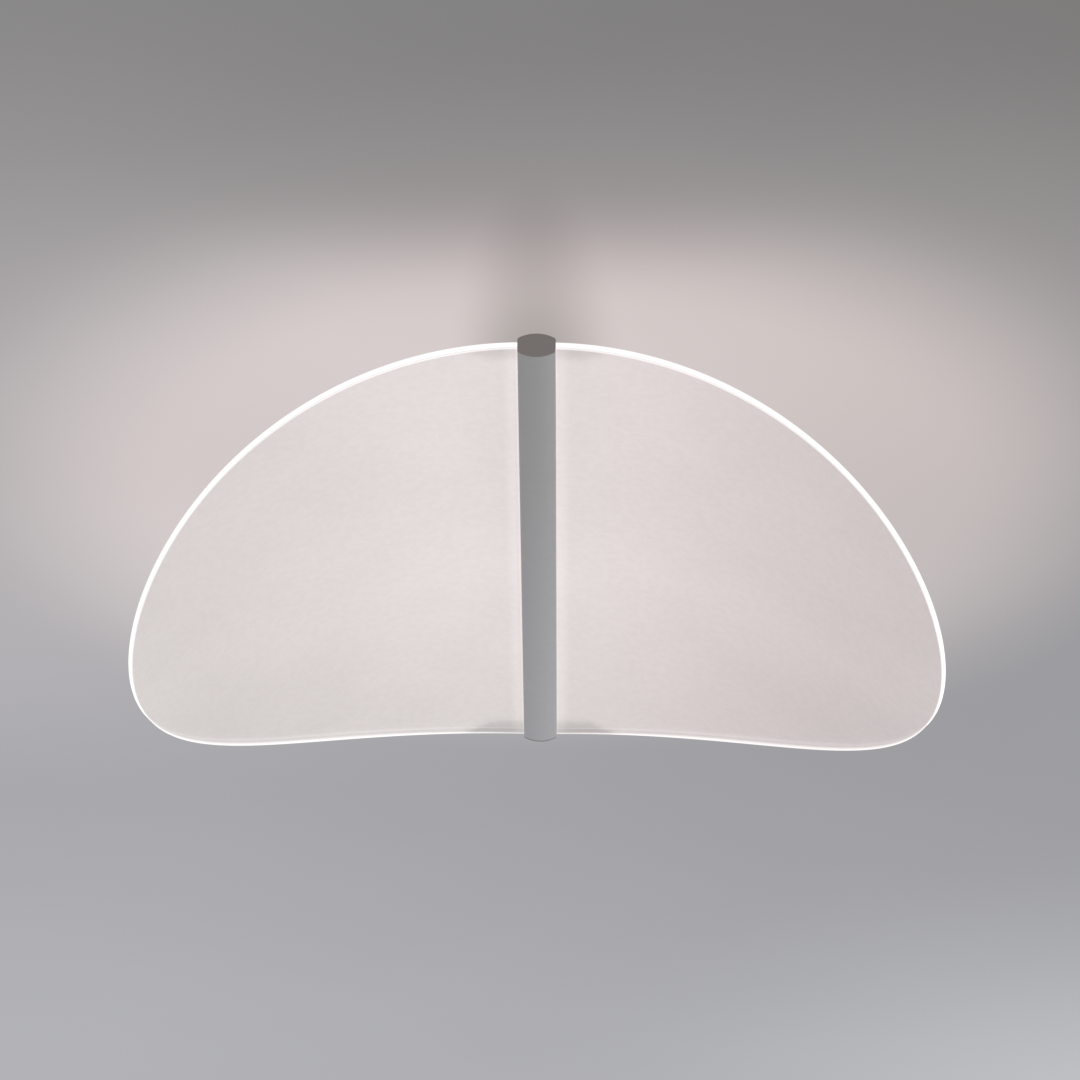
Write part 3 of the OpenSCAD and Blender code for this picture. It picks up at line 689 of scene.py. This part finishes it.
class SheetShape:
    """A sheet as a closed mesh: half an ellipse in its flat outline, bent down to its tip."""

    EXIT_GAP = 0.3 * MM
    STEP = 0.2 * MM
    ROWS = 150
    COLUMNS = 44
    # Dark corners: depth from the rim, reach from the tube, length of the taper and strength
    FRONT_SHADOW = (30 * MM, 78 * MM, 55 * MM, 0.7)
    REAR_SHADOW = (38 * MM, 82 * MM, 46 * MM, 1.0)
    SHADOW_BLUR = 17 * MM

    def __init__(self, settings, side):
        """Reads the sizes, and starts a mesh whose points store what the finishes need."""
        self.side = side
        self.reach = settings.reach
        self.bend = settings.bend_radius
        self.polish = settings.polish
        self.groove = (settings.groove_start, settings.groove_width, settings.groove_depth)
        self.exit_x = TUBE_HALF_WIDTH + self.EXIT_GAP
        self.half_t = SHEET_THICKNESS / 2
        self.bm = bmesh.new()
        names = ("reach", "rim", "root", "corner", "height")
        self.layers = {name: self.bm.verts.layers.float.new(name) for name in names}

    def turn(self, row):
        """Angle on the ellipse of a row, from the tube to the tip."""
        return math.acos(self.exit_x / self.reach) * (1 - row / self.ROWS)

    def outline(self, row, inset):
        """The point of the outline at a row, moved inwards."""
        angle = self.turn(row)
        u, y = self.reach * math.cos(angle), TUBE_HALF_LENGTH * math.sin(angle)
        normal = Vector((math.cos(angle) / self.reach, math.sin(angle) / TUBE_HALF_LENGTH)).normalized()
        return u - inset * normal.x, y - inset * normal.y

    def rim_distance(self, u, y):
        """Distance from a point to the outline, close enough near the rim."""
        level = math.hypot(u / self.reach, y / TUBE_HALF_LENGTH)
        slope = math.hypot(u / self.reach**2, y / TUBE_HALF_LENGTH**2) / max(level, TINY)
        return max(0.0, (1 - level) / max(slope, TINY))

    def vert(self, u, y, height):
        """A point of the sheet at a distance along it, across it and above its middle."""
        angle = max(0.0, u - self.exit_x) / self.bend
        x = min(u, self.exit_x) + (self.bend + height) * math.sin(angle)
        z = (self.bend + height) * math.cos(angle) - self.bend
        vert = self.bm.verts.new((self.side * x, y, TUBE_Z + z))
        root = max(0.0, u - self.exit_x)
        depth, reach, taper, strength = self.FRONT_SHADOW if y < 0 else self.REAR_SHADOW
        dark = abs(y) - TUBE_HALF_LENGTH + depth * min(1.0, (reach - root) / taper)
        vert[self.layers["reach"]] = u / self.reach
        vert[self.layers["rim"]] = self.rim_distance(u, y)
        vert[self.layers["root"]] = root
        vert[self.layers["corner"]] = strength * min(1.0, max(0.0, dark / self.SHADOW_BLUR))
        vert[self.layers["height"]] = height / self.half_t
        return vert

    def face_rows(self, height):
        """The rows of one face, each from the front rim to the rear rim, and its tip."""
        steps = range(self.COLUMNS + 1)
        spread = [math.sin(math.pi / 2 * (2 * c / self.COLUMNS - 1)) for c in steps]
        rows = []
        for row in range(self.ROWS):
            u, y = self.outline(row, self.polish)
            rows.append([self.vert(u, y * s, height) for s in spread])
        tip_u, tip_y = self.outline(self.ROWS, self.polish)
        return rows, self.vert(tip_u, tip_y, height)

    def fill_face(self, rows, tip):
        """Faces between the rows, and a fan at the tip."""
        for low, high in zip(rows, rows[1:]):
            for c in range(self.COLUMNS):
                self.bm.faces.new((low[c], low[c + 1], high[c + 1], high[c]))
        for c in range(self.COLUMNS):
            self.bm.faces.new((rows[-1][c], rows[-1][c + 1], tip))

    def rim_loop(self, rows, tip):
        """The verts round a face, from the front root round the tip to the rear root."""
        return [r[0] for r in rows] + [tip] + [r[-1] for r in reversed(rows)]

    def edge_loop(self, height):
        """The verts of the upright edge at a height, in the order of rim_loop."""
        front, rear = [], []
        for row in range(self.ROWS):
            u, y = self.outline(row, 0.0)
            front.append(self.vert(u, -y, height))
            rear.append(self.vert(u, y, height))
        return front + [self.vert(self.reach, 0.0, height)] + rear[::-1]

    def root_rows(self, sign):
        """The straight rows of one side of the root, with its groove, as pairs of verts."""
        start, width, depth = self.groove
        top = self.half_t
        section = [
            (ROOT_X, top),
            (start, top),
            (start, top - depth),
            (start + width, top - depth),
            (start + width, top),
            (self.exit_x - self.STEP, top),
        ]
        ends = (-CORE_HALF_LENGTH, CORE_HALF_LENGTH)
        return [[self.vert(u, y, sign * height) for y in ends] for u, height in section]

    def build(self, name):
        """The whole closed sheet: its faces take material 0 and its outer edge material 1."""
        faces = [self.face_rows(sign * self.half_t) for sign in (1, -1)]
        for rows, tip in faces:
            self.fill_face(rows, tip)
        inner = self.half_t - self.polish
        edges = [self.edge_loop(inner), self.edge_loop(-inner)]
        loops = [self.rim_loop(*faces[0]), *edges, self.rim_loop(*faces[1])]
        for high, low in zip(loops, loops[1:]):
            for i in range(len(high) - 1):
                face = self.bm.faces.new((high[i], high[i + 1], low[i + 1], low[i]))
                face.material_index = 1
        roots = [self.root_rows(1), self.root_rows(-1)]
        for pairs, (rows, _) in zip(roots, faces):
            for (a, b), (c, d) in zip(pairs, pairs[1:]):
                self.bm.faces.new((a, b, d, c))
            self.bm.faces.new([pairs[-1][0], *rows[0], pairs[-1][1]])
        upper, lower = roots
        self.bm.faces.new((upper[0][0], upper[0][1], lower[0][1], lower[0][0]))
        for end, at in ((0, 0), (1, -1)):
            self.bm.faces.new([p[end] for p in upper] + [p[end] for p in reversed(lower)])
            self.bm.faces.new([upper[-1][end], *[loop[at] for loop in loops], lower[-1][end]])
        return mesh_from(self.bm, name)


def check_fit(piece, node):
    """Stops the build where a piece isn't as large as the part that it stands for."""
    low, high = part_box(node)
    corners = [Vector(c) for c in piece.bound_box]
    for axis in range(3):
        found = min(c[axis] for c in corners), max(c[axis] for c in corners)
        wanted = low[axis], high[axis]
        if max(abs(found[0] - wanted[0]), abs(found[1] - wanted[1])) > FIT_TOLERANCE:
            raise RuntimeError(f"{piece.name} doesn't fit {node}: {found} against {wanted}")


class CEILINGLIGHT_OT_sheets(bpy.types.Operator):
    """Builds the two bent clear sheets."""

    bl_idname = "ceiling_light.sheets"
    bl_label = "Clear sheets"

    def execute(self, context):
        sheet = context.scene.ceiling_light_sheet
        finish = context.scene.ceiling_light_finish
        faces, edge = clear_sheet("hazed_sheet", sheet, finish), glowing_edge("glowing_edge", finish)
        for name, side in (("left", -1), ("right", 1)):
            mesh = SheetShape(sheet, side).build(f"{name}_sheet")
            piece = new_piece(f"{name}_sheet", mesh, [faces, edge])
            place_piece(piece, "clear_sheet", f"{name}_wing")
            check_fit(piece, f"{name}_wing")
        return {"FINISHED"}


class CEILINGLIGHT_OT_tube(bpy.types.Operator):
    """Coats the tube's shells, its sleeves and its end caps."""

    bl_idname = "ceiling_light.tube"
    bl_label = "Tube"

    def execute(self, context):
        finish = context.scene.ceiling_light_finish
        # The tube's coat is painted shade at the front and painted light at the rear
        tube_coat = powder_coat("tube_coat", finish.tube, rear=finish.tube_rear_lit)
        cap_coat = powder_coat("cap_coat", finish.cap, roughness=(0.5, 0.62))
        coat(tube_coat, "upper_shell", "lower_shell")
        coat(powder_coat("sleeve_coat", finish.tube_rear_lit), "front_stem_sleeve", "rear_stem_sleeve")
        coat(cap_coat, "front_end_cap", "rear_end_cap")
        return {"FINISHED"}


class CEILINGLIGHT_OT_lighting(bpy.types.Operator):
    """Finishes the core bar, the LED boards, the LEDs and the soft strips."""

    bl_idname = "ceiling_light.lighting"
    bl_label = "Lighting"

    def execute(self, context):
        board_mask = moulded_plastic("board_mask", BOARD_WHITE, (0.3, 0.4), texture=0.01 * MM)
        coat(brushed_metal("core_aluminium", ALUMINIUM, roughness=(0.3, 0.45)), "core_bar")
        coat(board_mask, "left_led_board", "right_led_board")
        coat(glowing_dot("led_phosphor", PHOSPHOR, strength=1.0), "left_leds", "right_leds")
        coat(rubber("milky_silicone", SILICONE), "left_wing_gaskets", "right_wing_gaskets")
        return {"FINISHED"}


class CEILINGLIGHT_OT_mounting(bpy.types.Operator):
    """Finishes the canopy, the ceiling bracket, the stems and the cable's grommet."""

    bl_idname = "ceiling_light.mounting"
    bl_label = "Mounting"

    def execute(self, context):
        finish = context.scene.ceiling_light_finish
        stem_zinc = plated_metal("stem_zinc", ZINC, (0.6, 0.6, 0.58), roughness=(0.22, 0.35))
        bracket_zinc = plated_metal("bracket_zinc", ZINC, (0.62, 0.61, 0.57), roughness=(0.3, 0.45))
        nut_brass = plated_metal("nut_brass", BRASS, (0.64, 0.46, 0.2), roughness=(0.2, 0.35))
        coat(powder_coat("canopy_coat", finish.tube_rear_lit), "canopy_shell")
        coat(bracket_zinc, "ceiling_bracket")
        coat(stem_zinc, "front_stem", "rear_stem")
        coat(nut_brass, "stem_nuts")
        coat(rubber("grommet_rubber", BLACK_RUBBER), "cable_grommet")
        return {"FINISHED"}


class CEILINGLIGHT_OT_driver(bpy.types.Operator):
    """Finishes the driver's case, its board and the parts on it."""

    bl_idname = "ceiling_light.driver"
    bl_label = "Driver"

    def execute(self, context):
        low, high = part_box("driver_choke")
        tape_bands = {"per_metre": 320, "depth": 0.1 * MM, "direction": "Z"}
        tape = banded("transformer_tape", TAPE_YELLOW, roughness=(0.2, 0.3), **tape_bands)
        sleeve = moulded_plastic("shrink_sleeve", SLEEVE_BLACK, (0.15, 0.25), texture=0.01 * MM)
        coat(moulded_plastic("driver_white", CASE_WHITE), "driver_case", "driver_cover")
        coat(circuit_board("driver_mask", BOARD_GREEN), "driver_board")
        coat(tape, "driver_transformer")
        coat(sleeve, "driver_capacitors")
        coat(copper_winding("choke_winding", COPPER, (low + high) / 2), "driver_choke")
        coat(moulded_plastic("terminal_green", TERMINAL_GREEN), "driver_terminals")
        return {"FINISHED"}


class CEILINGLIGHT_OT_wiring(bpy.types.Operator):
    """Finishes the mains terminal, the earth point and the wires."""

    bl_idname = "ceiling_light.wiring"
    bl_label = "Wiring"

    def execute(self, context):
        wires = {
            "live_wire": (0.19, 0.07, 0.03),
            "neutral_wire": (0.05, 0.13, 0.4),
            "left_led_wires": (0.55, 0.06, 0.04),
            "right_led_wires": (0.02, 0.02, 0.022),
        }
        jacket, texture = (0.35, 0.45), 0.01 * MM
        for node, colour in wires.items():
            coat(moulded_plastic(f"{node}_jacket", colour, jacket, texture), node)
        stripes = {"per_metre": 90, "depth": texture, "spread": 0.6}
        earth = banded("earth_jacket", EARTH_GREEN, roughness=jacket, **stripes)
        contact_brass = plated_metal("contact_brass", BRASS, (0.62, 0.44, 0.2), roughness=(0.2, 0.3))
        lug_brass = plated_metal("lug_brass", (0.66, 0.6, 0.5), (0.6, 0.52, 0.4), roughness=(0.25, 0.4))
        coat(earth, "earth_wire")
        coat(moulded_plastic("terminal_white", TERMINAL_WHITE), "terminal_block")
        coat(contact_brass, "terminal_contacts")
        coat(lug_brass, "earth_lug", "earth_screw")
        return {"FINISHED"}


class CEILINGLIGHT_OT_fasteners(bpy.types.Operator):
    """Finishes every screw."""

    bl_idname = "ceiling_light.fasteners"
    bl_label = "Fasteners"

    def execute(self, context):
        tint = (0.62, 0.6, 0.55)
        large = plated_metal("screw_zinc", ZINC, tint, roughness=(0.2, 0.34))
        small = plated_metal("small_screw_zinc", ZINC, tint, roughness=(0.22, 0.38))
        coat(large, "body_screws", "end_cap_screws", "canopy_screws")
        coat(small, "driver_screws", "terminal_screws", "terminal_fixing_screws")
        return {"FINISHED"}


def flat_square(name, half, height, faces_down=False):
    """A square plane at a height."""
    bm = bmesh.new()
    corners = [(-half, -half), (half, -half), (half, half), (-half, half)]
    if faces_down:
        corners.reverse()
    bm.faces.new([bm.verts.new((x, y, height)) for x, y in corners])
    mesh = bpy.data.meshes.new(name)
    bm.to_mesh(mesh)
    bm.free()
    return mesh


def ceiling_paint(name, stage):
    """Ceiling in painted soft light, with a painted glow and painted shade of the light. It shows from
    below only.
    """
    material, tree, shader = fresh_material(name)
    across, along = object_axis(tree, "X"), object_axis(tree, "Y")
    # Painted light: darker in front, lighter behind and further back, and painted shade towards the
    # right
    near, far = ramp(tree, along, -0.85, 0.45), ramp(tree, along, 0.45, 1.55)
    right, right_shade = ramp(tree, across, -0.7, 0.7), (-0.0545, -0.0555, -0.0625)
    colour = mix_colours(tree, near, stage.ceiling_front, stage.ceiling_back)
    colour = mix_colours(tree, far, colour, stage.ceiling_far)
    colour = add_colour(tree, colour, right, right_shade)

    # Each painted pool of light or painted shade: its middle, its size, the even part of it, and what
    # it adds
    spots = {
        "round both sheets": ((0.022, -0.031), (0.686, 0.608), 0.54, stage.ceiling_glow),
        "wide on the left": ((-0.5, -0.083), (1.031, 0.818), 0.37, shade(stage.ceiling_glow, 0.3)),
        "front left": ((-0.197, -0.317), (0.668, 0.345), 0.0, (0.0485, 0.0505, 0.0575)),
        "front right": ((0.317, -0.381), (0.773, 0.483), 0.0, (0.103, 0.0905, 0.0915)),
        "shade in front": ((-0.014, -0.505), (0.345, 0.136), 0.0, (-0.067, -0.0685, -0.0645)),
        "shade over the tube": ((-0.002, -0.1), (0.095, 0.504), 0.0, (-0.3895, -0.349, -0.361)),
        "far right": ((0.85, 1.7), (1.0, 1.0), 0.0, (0.129, 0.145, 0.157)),
    }
    for middle, size, core, light in spots.values():
        colour = add_colour(tree, colour, soft_spot(tree, middle, size, core), light)
    clouds = wander(tree, per_metre=3, low=0.992, high=1.008)
    tree.links.new(scale_colour(tree, colour, clouds), shader.inputs["Emission Color"])
    shader.inputs["Emission Strength"].default_value = 1.0
    shader.inputs["Base Color"].default_value = (0.0, 0.0, 0.0, 1.0)
    shader.inputs["Specular IOR Level"].default_value = 0.0
    from_above = tree.nodes.new("ShaderNodeNewGeometry").outputs["Backfacing"]
    clear = tree.nodes.new("ShaderNodeBsdfTransparent")
    mix = tree.nodes.new("ShaderNodeMixShader")
    tree.links.new(from_above, mix.inputs["Fac"])
    tree.links.new(shader.outputs["BSDF"], mix.inputs[1])
    tree.links.new(clear.outputs["BSDF"], mix.inputs[2])
    tree.links.new(mix.outputs["Shader"], tree.nodes["Material Output"].inputs["Surface"])
    return material


def floor_paint(name, colour):
    """Plain floor paint."""
    material, tree, shader = fresh_material(name)
    mottle(tree, shader, colour, per_metre=2, spread=0.01)
    shader.inputs["Roughness"].default_value = 0.9
    return material


def area_lamp(name, place, target, size, power):
    """A soft square lamp that faces its target."""
    light = bpy.data.lights.new(name, "AREA")
    light.size = size
    light.energy = power
    lamp = bpy.data.objects.new(name, light)
    lamp.location = place
    lamp.rotation_euler = (Vector(target) - Vector(place)).to_track_quat("-Z", "Y").to_euler()
    bpy.context.scene.collection.objects.link(lamp)


class CEILINGLIGHT_OT_stage(bpy.types.Operator):
    """Builds the plain ceiling and floor, the daylight with its lamp, and the camera."""

    bl_idname = "ceiling_light.stage"
    bl_label = "Stage"

    STAGE_HALF = 40.0
    CEILING_GAP = 0.4 * MM
    SKY_COLOUR = (0.98, 0.99, 1.0, 1.0)
    SENSOR_WIDTH = 36.0
    VIEW_END = 200.0

    def execute(self, context):
        stage = context.scene.ceiling_light_stage
        self.surfaces(stage)
        self.light(context.scene, stage)
        self.camera(context.scene, stage)
        return {"FINISHED"}

    def surfaces(self, stage):
        """The ceiling just above the light, which throws nothing on it, and the floor."""
        mesh = flat_square("ceiling", self.STAGE_HALF, self.CEILING_GAP, faces_down=True)
        ceiling = new_piece("ceiling", mesh, [ceiling_paint("ceiling_paint", stage)])
        ceiling.visible_diffuse = False
        ceiling.visible_glossy = False
        ceiling.visible_shadow = False
        mesh = flat_square("floor", self.STAGE_HALF, -stage.floor_depth)
        floor = new_piece("floor", mesh, [floor_paint("floor_paint", stage.floor)])

    def light(self, scene, stage):
        """Even daylight from all around and one soft lamp."""
        world = bpy.data.worlds.new("daylight")
        scene.world = world
        world.use_nodes = True
        sky = world.node_tree.nodes["Background"]
        sky.inputs["Color"].default_value = self.SKY_COLOUR
        sky.inputs["Strength"].default_value = stage.daylight
        area_lamp("soft_lamp", place=(1.5, 0.9, -1.5), target=(0.0, 0.1, -0.1), size=1.6, power=14.0)
        scene.view_settings.view_transform = "Standard"

    def camera(self, scene, stage):
        """The camera, which looks up along the tube."""
        tilt, pan, roll = stage.camera_tilt, stage.camera_pan, stage.camera_roll
        ahead = math.cos(tilt)
        forward = Vector((math.sin(pan) * ahead, math.cos(pan) * ahead, math.sin(tilt)))
        level = forward.cross(Vector((0, 0, 1))).normalized()
        upright = level.cross(forward)
        right = math.cos(roll) * level + math.sin(roll) * upright
        up = math.cos(roll) * upright - math.sin(roll) * level
        data = bpy.data.cameras.new("camera")
        data.lens = stage.lens
        data.sensor_width = self.SENSOR_WIDTH
        data.clip_end = self.VIEW_END
        camera = bpy.data.objects.new("camera", data)
        turn = Matrix((right, up, -forward)).transposed()
        camera.matrix_world = Matrix.Translation(stage.camera_place) @ turn.to_4x4()
        scene.collection.objects.link(camera)
        scene.camera = camera


class CEILINGLIGHT_PT_sidebar(bpy.types.Panel):
    """Lists the settings and the steps of the light."""

    bl_idname = "CEILINGLIGHT_PT_sidebar"
    bl_label = "Ceiling Light"
    bl_space_type = "VIEW_3D"
    bl_region_type = "UI"
    bl_category = "Ceiling Light"

    def draw(self, context):
        """One box for each group of settings, and a button for each step."""
        for settings, _ in SETTINGS:
            group = getattr(context.scene, settings)
            box = self.layout.box()
            for name in group.bl_rna.properties.keys():
                if name not in ("rna_type", "name"):
                    box.prop(group, name)
        for operator in OPERATORS:
            self.layout.operator(operator.bl_idname)


SETTINGS = (
    ("ceiling_light_sheet", SheetSettings),
    ("ceiling_light_finish", FinishSettings),
    ("ceiling_light_stage", StageSettings),
)
OPERATORS = (
    CEILINGLIGHT_OT_stage,
    CEILINGLIGHT_OT_sheets,
    CEILINGLIGHT_OT_tube,
    CEILINGLIGHT_OT_lighting,
    CEILINGLIGHT_OT_mounting,
    CEILINGLIGHT_OT_driver,
    CEILINGLIGHT_OT_wiring,
    CEILINGLIGHT_OT_fasteners,
)


def register():
    """Adds the settings, the steps and the panel."""
    for name, group in SETTINGS:
        bpy.utils.register_class(group)
        setattr(bpy.types.Scene, name, bpy.props.PointerProperty(type=group))
    for operator in OPERATORS:
        bpy.utils.register_class(operator)
    bpy.utils.register_class(CEILINGLIGHT_PT_sidebar)


def unregister():
    """Takes them away again."""
    bpy.utils.unregister_class(CEILINGLIGHT_PT_sidebar)
    for operator in reversed(OPERATORS):
        bpy.utils.unregister_class(operator)
    for name, group in reversed(SETTINGS):
        delattr(bpy.types.Scene, name)
        bpy.utils.unregister_class(group)


def main():
    """Builds the whole light."""
    register()
    steps = bpy.ops.ceiling_light
    steps.stage()
    steps.sheets()
    steps.tube()
    steps.lighting()
    steps.mounting()
    steps.driver()
    steps.wiring()
    steps.fasteners()


if __name__ == "__main__":
    main()
